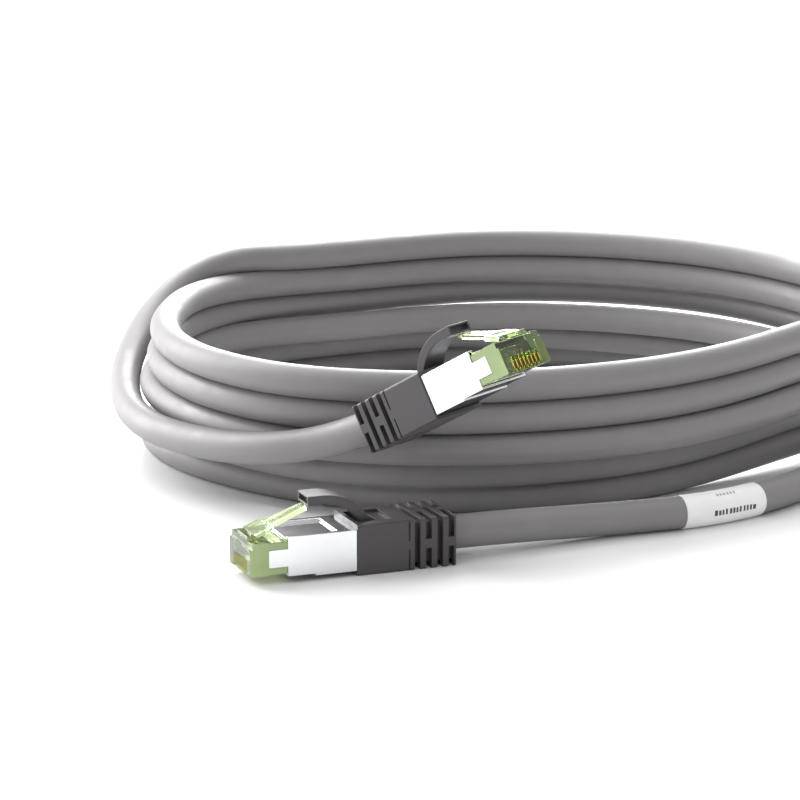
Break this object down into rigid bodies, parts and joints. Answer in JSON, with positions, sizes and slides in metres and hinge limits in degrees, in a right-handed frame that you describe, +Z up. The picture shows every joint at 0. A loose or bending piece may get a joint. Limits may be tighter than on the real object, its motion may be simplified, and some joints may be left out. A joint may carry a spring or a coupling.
{
  "type": "ethernet patch cable",
  "caption": "Shielded modular patch cable in a loose oval coil, with clear plugs, metal shells and dark ribbed boots with latch guards.",
  "frame": {"origin": "on the floor under the flat underside of the boot of the plug that lies on the floor, 5.5 mm behind the boot's front edge", "axes": "+X along that plug from its nose towards its cable, +Z up, +Y towards the coil"},
  "size_m": [0.1698, 0.187, 0.0461],
  "materials": {
    "clear_plastic": "clear yellow-green moulded polycarbonate, polished",
    "gold_contacts": "gold plated, polished",
    "load_bar_plastic": "translucent moulded plastic",
    "pair_foil": "thin bright foil",
    "shell_metal": "polished nickel plate on bent sheet",
    "latch_plastic": "clear yellow-green moulded polycarbonate, polished",
    "boot_plastic": "soft anthracite moulding, fine satin texture",
    "guard_plastic": "soft anthracite moulding, fine satin texture",
    "mould_plastic": "dull moulded strain relief",
    "braid_metal": "tinned copper braid folded back",
    "crimp_metal": "plain crimped steel",
    "wire_orange": "solid insulation",
    "wire_green": "solid insulation",
    "wire_blue": "solid insulation",
    "wire_brown": "solid insulation",
    "jacket": "satin extruded grey jacket",
    "label": "white wrap-round label, satin"
  },
  "bodies": {
    "root": {"plug_housing_a": "clear_plastic", "contacts_a": "gold_contacts", "load_bar_a": "load_bar_plastic", "pair_foils_a": "pair_foil", "shield_shell_a": "shell_metal", "boot_a": "boot_plastic", "inner_mould_a": "mould_plastic", "braid_end_a": "braid_metal", "crimp_ring_a": "crimp_metal", "wire_pair_orange_a": "wire_orange", "wire_pair_green_a": "wire_green", "wire_pair_blue_a": "wire_blue", "wire_pair_brown_a": "wire_brown", "plug_housing_b": "clear_plastic", "contacts_b": "gold_contacts", "load_bar_b": "load_bar_plastic", "pair_foils_b": "pair_foil", "shield_shell_b": "shell_metal", "boot_b": "boot_plastic", "inner_mould_b": "mould_plastic", "braid_end_b": "braid_metal", "crimp_ring_b": "crimp_metal", "wire_pair_orange_b": "wire_orange", "wire_pair_green_b": "wire_green", "wire_pair_blue_b": "wire_blue", "wire_pair_brown_b": "wire_brown", "cable_lead_a": "jacket", "label_sleeve": "label", "cable_lead_b": "jacket", "cable_coil": "jacket"},
    "latch_a": {"latch_a": "latch_plastic"},
    "guard_a": {"latch_guard_a": "guard_plastic"},
    "latch_b": {"latch_b": "latch_plastic"},
    "guard_b": {"latch_guard_b": "guard_plastic"}
  },
  "joints": [
    {"name": "guard_press_a", "type": "hinge", "parent": "root", "child": "guard_a", "pos_m": [-0.002, 0, 0.0082], "axis": [0, -1, 0], "range_deg": [0, 12], "stiffness_Nm_per_rad": 0.02},
    {"name": "latch_press_a", "type": "hinge", "parent": "root", "child": "latch_a", "pos_m": [-0.0242, 0, 0.00802], "axis": [0, 1, 0], "range_deg": [0, 14]},
    {"name": "guard_press_b", "type": "hinge", "parent": "root", "child": "guard_b", "pos_m": [0.01239, 0.00269, 0.03374], "axis": [0.8994, 0.4327, 0.0615], "range_deg": [0, 12], "stiffness_Nm_per_rad": 0.02},
    {"name": "latch_press_b", "type": "hinge", "parent": "root", "child": "latch_b", "pos_m": [0.02033, -0.01528, 0.04407], "axis": [-0.8994, -0.4327, -0.0615], "range_deg": [0, 14]}
  ],
  "couplings": [
    {"joint": "latch_press_a", "follows": "guard_press_a", "ratio": 1.15},
    {"joint": "latch_press_b", "follows": "guard_press_b", "ratio": 1.15}
  ]
}
